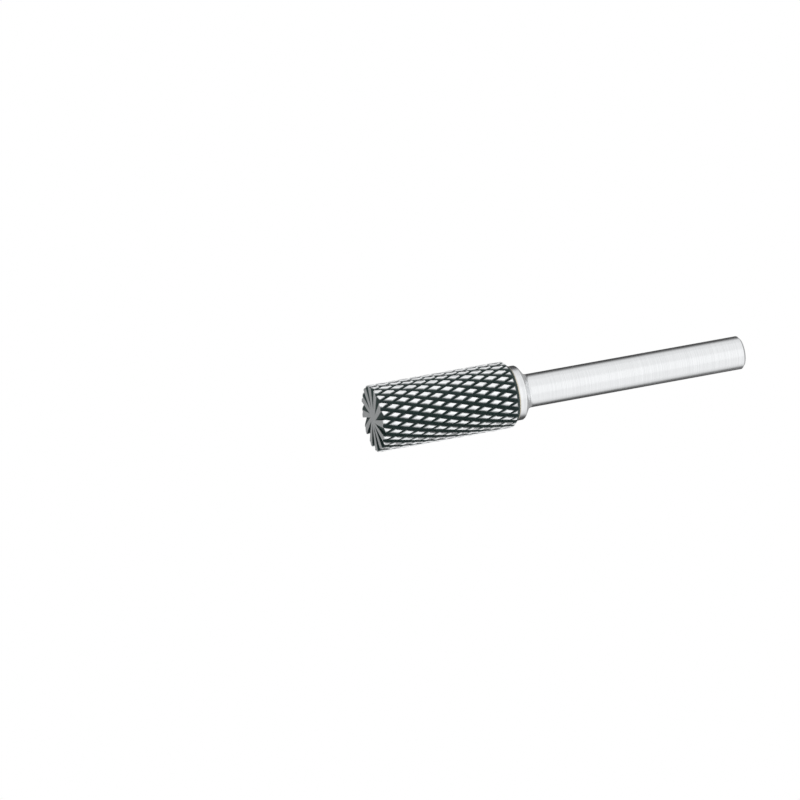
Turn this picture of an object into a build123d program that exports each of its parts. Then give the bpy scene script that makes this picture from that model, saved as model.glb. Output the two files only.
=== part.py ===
from build123d import *
from math import cos, degrees, pi, radians, sin, tan
import os

# Carbide burr, cylindrical, double cut, with end teeth. Millimetres and degrees.
# The axis is Z. The head's front face is at z = 0 and the shank points up.

# Carbide head
head_diameter = 12.0
cut_length = 25.0
front_edge_break = 0.15
back_chamfer = 0.9

# Main flutes: a right-hand helix, with the steep rake face turned to the sense of cutting,
# which is clockwise seen from the shank
flute_count = 24
flute_helix = 17.0
flute_depth = 0.55
flute_land = 0.45
flute_floor = 0.18
flute_rake_share = 0.12

# Cross cuts: a left-hand helix of even V grooves that breaks the flutes' ridges into teeth,
# as many as there are flutes, so that the cuts run on from one ridge to the next
cross_helix = 24.0
cross_depth = 0.44
cross_land = 0.75
cross_floor = 0.12

# End teeth: radial grooves in the front face, one to every second flute, which run out
# to nothing near the axis
flutes_per_end_groove = 2
end_groove_depth = 0.7
end_groove_slope = 20.0
end_groove_setback = 0.25
end_core_diameter = 2.0

# Brazed joint between the head and the shank
spigot_diameter = 3.2
spigot_length = 3.0
braze_film = 0.1
braze_bead = 0.15

# Steel shank
overall_length = 70.0
shank_diameter = 6.0
shank_chamfer = 0.4
collar_setback = 0.2
collar_length = 1.4
collar_edge_break = 0.15
neck_length = 1.3
neck_fillet = 1.2

head_radius = head_diameter / 2
head_length = cut_length + back_chamfer
back_radius = head_radius - back_chamfer
collar_radius = back_radius - collar_setback
shank_radius = shank_diameter / 2
spigot_radius = spigot_diameter / 2
socket_radius = spigot_radius + braze_film
collar_front = head_length + braze_film
collar_back = collar_front + collar_length
spigot_front = collar_front - spigot_length


def outline_of_ridges(count, depth, land, floor, lead_share, ridges):
    """Points along `ridges` neighbouring ridges out of the `count` that go round the head.

    A ridge rises to a point past the head's surface, which then trims it to `land` wide.
    Its leading flank takes `lead_share` of its base, and `floor` lies between two ridges.
    """
    pitch = 2 * pi * head_radius / count
    base = pitch - floor
    root = head_radius - depth
    tip = head_radius + depth * land / (base - land)
    points = []
    for ridge in range(ridges):
        for run, radius in [(0, root), (base * lead_share, tip), (base, root)]:
            angle = (ridge * pitch + run) / head_radius
            points.append((radius * cos(angle), radius * sin(angle)))
    return points


def twisted(points, helix):
    """Bar on an outline, turned as it rises; `helix` is its angle at the head's surface."""
    section = make_face(Polyline(*points, close=True)).face()
    turn = degrees(head_length * tan(radians(helix)) / head_radius)
    return Solid.extrude_linear_with_rotation(section, (0, 0, 0), (0, 0, head_length), turn)


def turned(points):
    """Solid turned round Z from an outline of (radius, height) points."""
    return revolve(Plane.XZ * make_face(Polyline(*points, close=True)), Axis.Z)


def toothed_blank():
    """Head with its flutes and cross cuts, patterned from one slice a single flute wide."""
    ridge = outline_of_ridges(
        flute_count, flute_depth, flute_land, flute_floor, flute_rake_share, 1
    )
    next_foot = Vector(*ridge[0]).rotate(Axis.Z, 360 / flute_count)
    flute_slice = twisted([(0, 0), *ridge, (next_foot.X, next_foot.Y)], flute_helix)
    cross_ridges = twisted(
        outline_of_ridges(flute_count, cross_depth, cross_land, cross_floor, 0.5, flute_count),
        -cross_helix,
    )
    envelope = turned([
        (0, 0),
        (head_radius - front_edge_break, 0),
        (head_radius, front_edge_break),
        (head_radius, cut_length),
        (back_radius, head_length),
        (0, head_length),
    ])
    toothed_slice = (flute_slice & cross_ridges & envelope).solid()
    # The slice's two inner walls hold the axis, and every other face is skin.
    mid_axis = Vertex(0, 0, head_length / 2)
    skin = [face for face in toothed_slice.faces() if face.distance_to(mid_axis) > flute_depth]
    around = PolarLocations(0, flute_count)
    return Solid(Shell([face.moved(place) for place in around for face in skin])).clean()


def end_groove():
    """Cutter for one V groove: upright on the cutting side, sloping on the other."""
    rise = end_groove_depth / (head_radius - end_core_diameter / 2)
    core_edge = (end_core_diameter / 2, 0, 0)
    floor_line = Plane(origin=core_edge, x_dir=(0, 1, 0), z_dir=(1, 0, rise))
    drop = 2 * end_groove_depth
    spread = drop / tan(radians(end_groove_slope))
    section = make_face(Polyline((0, 0), (0, -drop), (-spread, -drop), close=True))
    return Pos(0, end_groove_setback, 0) * extrude(floor_line * section, head_diameter)


def make_carbide_head():
    blank = toothed_blank()
    end_grooves = PolarLocations(0, flute_count // flutes_per_end_groove) * end_groove()
    socket = Cylinder(socket_radius, spigot_length, align=(Align.CENTER, Align.CENTER, Align.MAX))
    return blank - end_grooves - Pos(0, 0, head_length) * socket


def make_silver_braze():
    """Film that fills the gap at the socket and the shoulder, with a bead round the outside."""
    return turned([
        (0, spigot_front - braze_film),
        (socket_radius, spigot_front - braze_film),
        (socket_radius, head_length),
        (collar_radius + braze_bead, head_length),
        (collar_radius, collar_front + braze_bead),
        (collar_radius, collar_front),
        (spigot_radius, collar_front),
        (spigot_radius, spigot_front),
        (0, spigot_front),
    ])


def make_steel_shank():
    """Turned in one piece: spigot, collar, neck and the plain shank that the collet grips."""
    neck_foot = (shank_radius, collar_back + neck_length)
    collar_edge = (collar_radius, collar_back)
    shank_end = (shank_radius, overall_length)
    outline = make_face(Polyline(
        (0, spigot_front),
        (spigot_radius, spigot_front),
        (spigot_radius, collar_front),
        (collar_radius, collar_front),
        collar_edge,
        neck_foot,
        shank_end,
        (0, overall_length),
        close=True,
    ))
    outline = fillet(outline.vertices().sort_by_distance(neck_foot)[0], neck_fillet)
    outline = chamfer(outline.vertices().sort_by_distance(collar_edge)[0], collar_edge_break)
    outline = chamfer(outline.vertices().sort_by_distance(shank_end)[0], shank_chamfer)
    return revolve(Plane.XZ * outline, Axis.Z)


os.makedirs("parts", exist_ok=True)
export_step(make_carbide_head(), "parts/carbide_head.step")
export_step(make_silver_braze(), "parts/silver_braze.step")
export_step(make_steel_shank(), "parts/steel_shank.step")
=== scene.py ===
import bmesh
import bpy
import math
import numpy as np
from mathutils import Matrix, Vector


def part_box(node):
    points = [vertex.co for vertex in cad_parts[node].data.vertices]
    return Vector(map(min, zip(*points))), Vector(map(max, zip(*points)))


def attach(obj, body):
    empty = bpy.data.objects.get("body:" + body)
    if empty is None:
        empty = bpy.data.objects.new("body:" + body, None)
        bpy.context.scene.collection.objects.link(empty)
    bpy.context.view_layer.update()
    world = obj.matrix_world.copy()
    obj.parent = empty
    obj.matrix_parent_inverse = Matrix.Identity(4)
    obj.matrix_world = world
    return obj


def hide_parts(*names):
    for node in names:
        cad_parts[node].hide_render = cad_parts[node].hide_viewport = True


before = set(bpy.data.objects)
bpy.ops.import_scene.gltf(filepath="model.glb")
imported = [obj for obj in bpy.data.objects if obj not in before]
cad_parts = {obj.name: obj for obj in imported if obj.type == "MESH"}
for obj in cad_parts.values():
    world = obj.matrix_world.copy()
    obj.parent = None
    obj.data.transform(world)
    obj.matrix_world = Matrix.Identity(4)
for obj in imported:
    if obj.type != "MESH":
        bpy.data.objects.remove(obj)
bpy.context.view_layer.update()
mm = 0.001


# Steel shank. One bar of tool steel, turned to spigot, collar and neck, then ground to the
# diameter that a collet grips. Its spigot is brazed into the head.
shank_foot, shank_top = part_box("steel_shank")
shank_end = shank_top.z
shank_radius = 3.0 * mm
shank_chamfer = 0.4 * mm
spigot_radius = 1.6 * mm
spigot_length = 3.0 * mm
collar_radius = shank_top.x
collar_length = 1.4 * mm
collar_front = shank_foot.z + spigot_length
collar_back = collar_front + collar_length
collar_edge_break = 0.15 * mm
collar_edge_rise = 0.1 * mm
neck_length = 1.3 * mm
neck_fillet = 1.2 * mm
plain_rings = 12


def arc(centre, radius, start, stop, points):
    """Points centre + radius (cos a, sin a), with a going evenly from start to stop in degrees."""
    a = np.radians(np.linspace(start, stop, points))
    return np.column_stack([centre[0] + radius * np.cos(a), centre[1] + radius * np.sin(a)])


def new_piece(name, points, faces):
    """Mesh object from an array of points and a list of faces."""
    mesh = bpy.data.meshes.new(name)
    mesh.from_pydata(points, [], faces)
    piece = bpy.data.objects.new(name, mesh)
    bpy.context.collection.objects.link(piece)
    return piece


def shade(piece, crease):
    """Smooth shading, with a sharp edge where two faces meet at more than crease degrees."""
    piece.data.shade_smooth()
    piece.data.set_sharp_from_angle(angle=math.radians(crease))


def lathe(name, profile, columns=256):
    """Surface of revolution: profile point (r, z) goes to (r cos t, r sin t, z) for each of the
    columns' angles t. The profile starts and ends on the axis, where its ring is one point."""
    t = np.arange(columns) * 2 * np.pi / columns
    r, z = profile[1:-1, :1], profile[1:-1, 1:]
    rings = np.stack([r * np.cos(t), r * np.sin(t), z + 0 * t], axis=-1).reshape(-1, 3)
    poles = [(0, 0, profile[0, 1]), (0, 0, profile[-1, 1])]
    here = np.arange(columns)
    after = np.roll(here, -1)
    base = np.arange(len(profile) - 3)[:, None] * columns
    quads = np.stack([base + here, base + after, base + columns + after, base + columns + here], -1)
    first, last = len(rings), len(rings) + 1
    top = len(rings) - columns
    start_cap = np.stack([np.full_like(here, first), after, here], -1)
    end_cap = np.stack([np.full_like(here, last), top + here, top + after], -1)
    faces = quads.reshape(-1, 4).tolist() + start_cap.tolist() + end_cap.tolist()
    return new_piece(name, np.vstack([rings, poles]), faces)


neck_slope = math.degrees(math.atan2(collar_radius - shank_radius, neck_length))
neck_runout = neck_fillet * math.tan(math.radians(neck_slope / 2))
neck_end = collar_back + neck_length + neck_runout
fillet_centre = (shank_radius + neck_fillet, neck_end)
plain_heights = np.linspace(neck_end, shank_end, plain_rings + 2)[1:-1]
shank_profile = np.vstack([
    (0, shank_foot.z),
    (spigot_radius, shank_foot.z),
    (spigot_radius, collar_front),
    (collar_radius, collar_front),
    (collar_radius, collar_back - collar_edge_break),
    (collar_radius - collar_edge_break, collar_back + collar_edge_rise),
    arc(fillet_centre, neck_fillet, 180 + neck_slope, 180, points=10),
    np.column_stack([np.full(plain_rings, shank_radius), plain_heights]),
    (shank_radius, shank_end - shank_chamfer),
    (shank_radius - shank_chamfer, shank_end),
    (0, shank_end),
])
shank = lathe("ground_shank", shank_profile)
shade(shank, crease=25)
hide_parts("steel_shank")
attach(shank, "root")


class Socket:
    """A shader socket that Python arithmetic works on: each operator adds one Math node."""

    def __init__(self, tree, link=None):
        self.tree = tree
        self.link = link

    def add(self, kind, inputs=None, output=0, **settings):
        """Adds a node of that type: its settings first, then its sockets' values or links."""
        node = self.tree.nodes.new(kind)
        for name, value in settings.items():
            setattr(node, name, value)
        for name, value in (inputs or {}).items():
            if isinstance(value, Socket):
                self.tree.links.new(value.link, node.inputs[name])
            else:
                node.inputs[name].default_value = value
        return Socket(self.tree, node.outputs[output] if node.outputs else None)

    def millimetres(self):
        """Object coordinates in millimetres, so that scaled(6, 6, 1) gives 6 marks to each."""
        return self.add("ShaderNodeTexCoord", output="Object").scaled(1000, 1000, 1000)

    def other(self, name):
        """Another output of this socket's node."""
        return Socket(self.tree, self.link.node.outputs[name])

    def maths(self, operation, *others):
        """The Math node's operation on this socket and the others, in that order."""
        return self.add("ShaderNodeMath", dict(enumerate((self, *others))), operation=operation)

    def vector(self, operation, *others, output=0):
        """The Vector Math node's operation; its output 1 is a number, as for a length."""
        sockets = dict(enumerate((self, *others)))
        return self.add("ShaderNodeVectorMath", sockets, output, operation=operation)

    def __add__(self, other):
        return self.maths("ADD", other)

    def __sub__(self, other):
        return self.maths("SUBTRACT", other)

    def __rsub__(self, other):
        return self.add("ShaderNodeMath", {0: other, 1: self}, operation="SUBTRACT")

    def __mul__(self, other):
        return self.maths("MULTIPLY", other)

    __radd__ = __add__
    __rmul__ = __mul__

    def between(self, low, high):
        """0 where the socket is at or below low, 1 at or above high, and smooth between."""
        limits = {"Value": self, "From Min": low, "From Max": high}
        return self.add("ShaderNodeMapRange", limits, interpolation_type="SMOOTHSTEP")

    def mixed(self, none, full):
        """The colour none where the socket is 0 and full where it is 1."""
        sockets = {"Factor": self, 6: none, 7: full}
        return self.add("ShaderNodeMix", sockets, output=2, data_type="RGBA")

    def scaled(self, x, y, z):
        """The vector socket multiplied part by part."""
        return self.vector("MULTIPLY", (x, y, z))

    def noise(self, detail):
        """Fractal noise at the vector socket, stretched so that it fills the range 0 to 1."""
        cloud = self.add("ShaderNodeTexNoise", {"Vector": self, "Scale": 1.0, "Detail": detail})
        return cloud.between(0.3, 0.7)


def new_material(name, piece):
    """An empty material on the piece, as the Socket that its nodes are added from."""
    material = bpy.data.materials.new(name)
    material.use_nodes = True
    material.node_tree.nodes.clear()
    piece.data.materials.clear()
    piece.data.materials.append(material)
    return Socket(material.node_tree)


def finish_material(start, bump, strength, depth, **sockets):
    """Principled shader with those sockets and a bump of that depth, in millimetres."""
    relief = {"Height": bump, "Strength": strength, "Distance": depth * mm}
    named = {name.replace("_", " "): value for name, value in sockets.items()}
    named["Normal"] = start.add("ShaderNodeBump", relief)
    shader = start.add("ShaderNodeBsdfPrincipled", named)
    start.add("ShaderNodeOutputMaterial", {"Surface": shader})


start = new_material("ground_steel", shank)
place = start.millimetres()
aside = start.add("ShaderNodeSeparateXYZ", {0: place}, output="X")
height = aside.other("Z")
radius = place.scaled(1, 1, 0).vector("LENGTH", output=1)
# Tool marks are circles round the axis, so the noise is read at (radius, height) and changes
# only slowly round the circle. The collar, the neck and the far end's face are turned, and the
# rest is ground.
circle = start.add("ShaderNodeCombineXYZ", {0: radius, 1: height, 2: 0.1 * aside})
turned_marks = circle.scaled(6, 6, 1).noise(detail=2)
ground_marks = circle.scaled(18, 18, 1).noise(detail=4)
end_face = height.between(shank_end / mm - 0.02, shank_end / mm - 0.01)
ground_part = height.between(neck_end / mm - 0.5, neck_end / mm) - end_face
marks = ground_part.maths("MULTIPLY_ADD", ground_marks - turned_marks, turned_marks)
cloudy = place.scaled(0.25, 0.25, 0.3).noise(detail=2)
steel_in_marks = (0.66, 0.67, 0.68, 1)
bright_steel = (0.80, 0.81, 0.82, 1)
finish_material(
    start, marks, strength=0.3, depth=0.006,
    Base_Color=marks.mixed(steel_in_marks, bright_steel),
    Metallic=1.0,
    Roughness=0.18 + 0.05 * marks + 0.04 * cloudy + 0.16 * end_face,
)


# Silver braze. The alloy that runs into the joint and sets as a film, with a small concave
# bead in the corner between the collar and the head's back face.
film_foot, film_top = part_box("silver_braze")
bead_radius = film_top.x
bead_top = film_top.z
film_thickness = 0.1 * mm
head_back = collar_front - film_thickness
socket_radius = spigot_radius + film_thickness
# Steps in and up from the bead's foot: below the straight line to its top, so it is hollow.
bead_hollow = np.array([(-0.05, 0.06), (-0.10, 0.12)]) * mm
bead_profile = np.vstack([
    (0, film_foot.z),
    (socket_radius, film_foot.z),
    (socket_radius, head_back),
    (bead_radius, head_back),
    bead_hollow + (bead_radius, head_back),
    (collar_radius, bead_top),
    (collar_radius, collar_front),
    (spigot_radius, collar_front),
    (spigot_radius, shank_foot.z),
    (0, shank_foot.z),
])
braze = lathe("braze_bead", bead_profile)
shade(braze, crease=25)
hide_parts("silver_braze")
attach(braze, "root")

start = new_material("silver_brazing_alloy", braze)
flow = start.millimetres().scaled(2, 2, 2).noise(detail=4)
dull_alloy = (0.46, 0.42, 0.33, 1)
bright_alloy = (0.66, 0.62, 0.52, 1)
finish_material(
    start, flow, strength=0.5, depth=0.02,
    Base_Color=flow.mixed(dull_alloy, bright_alloy),
    Metallic=1.0,
    Roughness=0.28 + 0.2 * flow,
)


# Carbide head. Tungsten carbide powder sintered to a cylinder with a blind socket, then ground
# with diamond wheels: right-hand flutes first, left-hand cross cuts over them, and last the
# radial grooves that make teeth of its front face.
head_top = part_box("carbide_head")[1]
head_radius = head_top.x
head_length = head_top.z
back_chamfer = 0.9 * mm
front_break = 0.15 * mm
flute_count = 24
pitch = 2 * np.pi * head_radius / flute_count
flute_slope = math.tan(math.radians(17.0))
cross_slope = math.tan(math.radians(24.0))
floor_sag = 0.02 * mm
# Depths at which the flanks have points, down to the flutes' floor. The cross cuts are less deep
# by one level.
flute_levels = np.linspace(0, 0.55, 6) * mm
cross_levels = flute_levels[:-1]


def tooth_section(levels, land, floor, lead_share, sag):
    """Runs along one pitch and their depths: up the leading flank by the given depth levels,
    over the land, down the trailing flank by the same levels and along the floor, which sags
    in its middle. The flanks are straight and would meet above the land."""
    base = pitch - floor
    depth = levels[-1]
    tip = base * lead_share
    height = depth * base / (base - land)
    lead = tip * (1 - (height - depth) / height)
    trail = lead + land
    up = lead * (1 - levels[::-1] / depth)
    down = trail + (base - trail) * levels / depth
    middle = np.array([(lead + trail) / 2])
    runs = np.concatenate([up, middle, down, [base + floor / 2, pitch]])
    depths = np.concatenate([levels[::-1], [0], levels, [depth + sag, depth]])
    return runs, depths


flute_runs, flute_depths = tooth_section(
    flute_levels, land=0.45 * mm, floor=0.18 * mm, lead_share=0.12, sag=floor_sag
)
cross_runs, cross_depths = tooth_section(
    cross_levels, land=0.75 * mm, floor=0.12 * mm, lead_share=0.5, sag=floor_sag
)


def joined(piece):
    """The piece with points less than a micron apart made one."""
    form = bmesh.new()
    form.from_mesh(piece.data)
    bmesh.ops.remove_doubles(form, verts=form.verts, dist=0.001 * mm)
    form.to_mesh(piece.data)
    form.free()
    return piece


def toothed_bar(name, low, high):
    """Bar from height low to high with both sets of grooves. With u the run across the flutes
    and v the run across the cross cuts, a point of the side has height (v - u) / (the sum of the
    slopes), turn (u + flute slope * height) / radius, and radius less the deeper of the two
    depths. One flute's strip of points is worked out and carried round, and fans close the ends."""
    slopes = flute_slope + cross_slope
    flute_starts = np.arange(flute_count) * 2 * np.pi / flute_count
    cuts = np.arange(math.floor(low * slopes / pitch) - 1, math.ceil(high * slopes / pitch) + 2)
    v = (cuts[:, None] * pitch + cross_runs[:-1]).ravel()
    u = flute_runs[:, None]
    z = np.clip((v - u) / slopes, low, high)
    cross = np.interp(np.mod(u + z * slopes, pitch), cross_runs, cross_depths)
    depth = np.maximum(flute_depths[:, None], cross)
    turn = flute_starts[:, None, None] + (u + flute_slope * z) / head_radius
    r = head_radius - depth
    points = np.stack([r * np.cos(turn), r * np.sin(turn), z + 0 * turn], -1)
    index = np.arange(turn.size).reshape(turn.shape)
    a, b = index[:, :-1, :-1], index[:, 1:, :-1]
    c, d = index[:, 1:, 1:], index[:, :-1, 1:]
    # A quad is split along the diagonal that drops more, which is how the creases run.
    falls = np.abs(depth[:-1, :-1] - depth[1:, 1:]) > np.abs(depth[1:, :-1] - depth[:-1, 1:])
    one = np.where(falls, [a, b, c], [a, b, d])
    two = np.where(falls, [a, c, d], [b, c, d])
    sides = np.concatenate([one.reshape(3, -1), two.reshape(3, -1)], axis=1).T
    tops, feet = index[:, :, -1], index[:, :, 0]
    centre_foot, centre_top = index.size, index.size + 1
    fan_foot = np.stack([feet[:, 1:], feet[:, :-1], np.full_like(feet[:, 1:], centre_foot)], -1)
    fan_top = np.stack([tops[:, :-1], tops[:, 1:], np.full_like(tops[:, 1:], centre_top)], -1)
    faces = np.concatenate([sides, fan_foot.reshape(-1, 3), fan_top.reshape(-1, 3)])
    points = np.vstack([points.reshape(-1, 3), (0, 0, low), (0, 0, high)])
    # Points past an end were moved onto it: triangles that have shrunk to nothing are left out.
    corners = points[faces]
    normals = np.cross(corners[:, 1] - corners[:, 0], corners[:, 2] - corners[:, 0])
    doubled_areas = np.linalg.norm(normals, axis=1)
    speck = 1e-8 * mm**2
    return joined(new_piece(name, points, faces[doubled_areas > speck].tolist()))


def ground_off(piece, wheel):
    """Takes the form of the wheel out of the piece, and the wheel out of the scene. Points that
    the cut leaves on each other are joined, so that no sliver of no width stays."""
    cut = piece.modifiers.new("cut", "BOOLEAN")
    cut.object = wheel
    cut.operation = "DIFFERENCE"
    cut.solver = "EXACT"
    finished = piece.evaluated_get(bpy.context.evaluated_depsgraph_get())
    mesh = bpy.data.meshes.new_from_object(finished)
    piece.modifiers.clear()
    piece.data = mesh
    joined(piece)
    bpy.data.objects.remove(wheel)


def end_groove_wheel(reach, slope, depth, core, setback):
    """Wedges for every second flute, which rise from nothing at the core to the groove's depth
    at the rim. Each is a tetrahedron with its base a little under the face: upright on the side
    that cuts, and at the slope on the other."""
    rise = depth / (head_radius - core)
    under = 0.05 * mm
    top = rise * (reach - core)
    wedge = np.array([
        (core - under / rise, setback, -under),
        (reach, setback, top),
        (reach, setback, -under),
        (reach, setback - (top + under) / math.tan(slope), -under),
    ])
    grooves = np.arange(flute_count // 2)
    turn = grooves * 4 * np.pi / flute_count
    x = np.cos(turn)[:, None] * wedge[:, 0] - np.sin(turn)[:, None] * wedge[:, 1]
    y = np.sin(turn)[:, None] * wedge[:, 0] + np.cos(turn)[:, None] * wedge[:, 1]
    points = np.stack([x, y, wedge[:, 2] + 0 * x], -1).reshape(-1, 3)
    sides = np.array([(0, 1, 2), (1, 3, 2), (0, 3, 1), (0, 2, 3)])
    faces = (grooves[:, None, None] * 4 + sides).reshape(-1, 3)
    return new_piece("end_groove_wheel", points, faces.tolist())


# Outlines of what comes off the front and, with the socket, off the back. They reach past the
# head's surface.
past = 1 * mm
front_wheel = np.array([
    (0, -past),
    (head_radius + past, -past),
    (head_radius + past, front_break + past),
    (head_radius - front_break, 0),
    (0, 0),
])
back_wheel = np.array([
    (0, film_foot.z),
    (socket_radius, film_foot.z),
    (socket_radius, head_length),
    (head_radius - back_chamfer, head_length),
    (head_radius + past, head_length - back_chamfer - past),
    (head_radius + past, head_length + past),
    (0, head_length + past),
])
head = toothed_bar("toothed_head", low=-past / 2, high=head_length + past / 2)
ground_off(head, lathe("front_wheel", front_wheel, columns=360))
ground_off(head, lathe("back_wheel", back_wheel, columns=360))
ground_off(head, end_groove_wheel(
    reach=head_radius + past, slope=math.radians(20), depth=0.7 * mm, core=1 * mm, setback=0.25 * mm
))
shade(head, crease=22)
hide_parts("carbide_head")
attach(head, "root")

start = new_material("ground_carbide", head)
place = start.millimetres()
height = start.add("ShaderNodeSeparateXYZ", {0: place}, output="Z")
depth = head_radius / mm - place.scaled(1, 1, 0).vector("LENGTH", output=1)
# Turned back by the flutes' helix, so that grinding streaks run along the flutes. The front
# face was ground flat before its grooves, in straight strokes.
untwist = {"Vector": place, "Angle": height * (-flute_slope / (head_radius / mm))}
unwound = start.add("ShaderNodeVectorRotate", untwist, rotation_type="Z_AXIS")
side_streaks = unwound.scaled(9, 9, 0.5).noise(detail=3)
front_strokes = place.scaled(0.8, 16, 1).noise(detail=3)
front_face = 1 - height.between(0.02, 0.1)
streaks = front_face.maths("MULTIPLY_ADD", front_strokes - side_streaks, side_streaks)
grain = place.scaled(12, 12, 12).noise(detail=4)
cloudy = place.scaled(0.9, 0.9, 0.9).noise(detail=2)
# The lands are bright metal. The grooves between them are painted shade, set by depth, and the
# front face is duller: half bright metal, half that painted shade.
land = 1 - (depth + 0.05 * cloudy).between(0.06, 0.33)
bright = land.maths("MAXIMUM", 0.5 * front_face)
polished = streaks.mixed((0.76, 0.77, 0.78, 1), (0.92, 0.93, 0.94, 1))
# Dark teal painted shade for the grooves, varied at random by the grain.
painted_groove_shade = grain.mixed((0.010, 0.024, 0.022, 1), (0.026, 0.048, 0.045, 1))
finish_material(
    start, 0.6 * streaks + 0.4 * grain, strength=0.4, depth=0.01,
    Base_Color=bright.mixed(painted_groove_shade, polished),
    Metallic=bright,
    Roughness=0.55 - 0.29 * bright + 0.06 * streaks,
    Specular_IOR_Level=0.25,
)


# Stage. A plain pale floor that the burr stands on, a white surround and three soft lamps. The
# camera looks at the burr as it is held in use, with its shank to the right and going away, so
# it looks from below the floor, which therefore shows from above alone and lets light through.
floor_side = 6.0
floor_level = -0.02 * mm
corners = floor_side / 2 * np.array([(-1, -1, 0), (1, -1, 0), (1, 1, 0), (-1, 1, 0)])
floor = new_piece("floor", corners + (0, 0, floor_level), [(0, 1, 2, 3)])
start = new_material("pale_floor", floor)
from_below = start.add("ShaderNodeNewGeometry", output="Backfacing")
seen = start.add("ShaderNodeLightPath", output="Is Camera Ray") * (1 - from_below)
paint = start.add("ShaderNodeBsdfDiffuse", {"Color": (0.86, 0.86, 0.86, 1)})
clear = start.add("ShaderNodeBsdfTransparent")
surface = start.add("ShaderNodeMixShader", {0: seen, 1: clear, 2: paint})
start.add("ShaderNodeOutputMaterial", {"Surface": surface})

# The view: how far the shank points away and up in the picture.
away = math.radians(17)
up = math.radians(10.25)
axis_seen = Vector((math.cos(away) * math.cos(up), math.cos(away) * math.sin(up), -math.sin(away)))
x_seen = Vector((0, 1, 0)).cross(axis_seen).normalized()
y_seen = axis_seen.cross(x_seen)
facing_camera = Matrix((x_seen, y_seen, axis_seen))
above = facing_camera @ Vector((0, 1, 0))
beside = facing_camera @ Vector((0, 0, 1))
lens_width = 36.0
lens_length = 300.0
picture_side = 800
pixels_per_mm = 5.62
distance = picture_side / pixels_per_mm * mm * lens_length / lens_width
# Where the burr's axis is in the picture, in pixels from its top left corner, at one height.
axis_height = 35 * mm
axis_pixel = Vector((558.0, 385.3))
aim = (axis_pixel - Vector((picture_side / 2, picture_side / 2))) / pixels_per_mm * mm
eye = Vector((0, 0, axis_height)) + facing_camera @ Vector((-aim.x, aim.y, distance))
camera = bpy.data.objects.new("camera", bpy.data.cameras.new("camera"))
bpy.context.collection.objects.link(camera)
camera.data.sensor_width = lens_width
camera.data.lens = lens_length
camera.data.clip_start = 0.01
camera.matrix_world = Matrix.Translation(eye) @ facing_camera.to_4x4()
bpy.context.scene.camera = camera

# The surround is white to the eye. The metal sees it white from the camera's side round to the
# sides and dim behind, less so overhead, which gives round metal its edges. Below the floor's
# level the whole of it is pale. What is matt sees it a little less bright than white.
world = bpy.data.worlds.new("surround")
bpy.context.scene.world = world
world.use_nodes = True
world.node_tree.nodes.clear()
start = Socket(world.node_tree)
direction = start.add("ShaderNodeTexCoord", output="Generated")
rise = start.add("ShaderNodeSeparateXYZ", {0: direction}, output="Z")
level = direction.scaled(1, 1, 0).vector("NORMALIZE")
towards = level.vector("DOT_PRODUCT", (*beside.xy.normalized(), 0), output=1)
behind = 1 - towards.between(-0.65, -0.1)
overhead = rise.between(0.35, 0.8)
upper = 1 - behind * (0.93 - 0.15 * overhead)
lower = 0.45 + 0.55 * towards.between(-0.9, 0.4)
in_metal = rise.between(-0.1, 0.1).maths("MULTIPLY_ADD", upper - lower, lower)
to_eye = start.add("ShaderNodeLightPath", output="Is Camera Ray")
to_metal = to_eye.other("Is Glossy Ray")
to_matt = 1 - to_eye.maths("MAXIMUM", to_metal)
strength = to_eye.maths("MAXIMUM", to_metal * in_metal) + 0.7 * to_matt
air = start.add("ShaderNodeBackground", {"Color": (1, 1, 1, 1), "Strength": strength})
start.add("ShaderNodeOutputWorld", {"Surface": air})


lamp_distance = 0.6


def soft_lamp(name, direction, watts, size):
    """Square lamp in that direction from the burr's middle, turned to face it."""
    lamp = bpy.data.lights.new(name, "AREA")
    lamp.energy = watts
    lamp.size = size
    holder = bpy.data.objects.new(name, lamp)
    holder.location = Vector((0, 0, axis_height)) + lamp_distance * direction.normalized()
    holder.rotation_euler = direction.to_track_quat("Z", "Y").to_euler()
    bpy.context.collection.objects.link(holder)


soft_lamp("key", 0.4 * above + beside + Vector((0, 0, 0.5)), watts=0.7, size=1.4)
soft_lamp("fill", beside - 0.6 * above + Vector((0, 0, 0.8)), watts=0.8, size=1.4)
soft_lamp("back", -beside - 0.2 * above + Vector((0, 0, 1.8)), watts=0.8, size=1.0)

bpy.context.scene.view_settings.view_transform = "Standard"
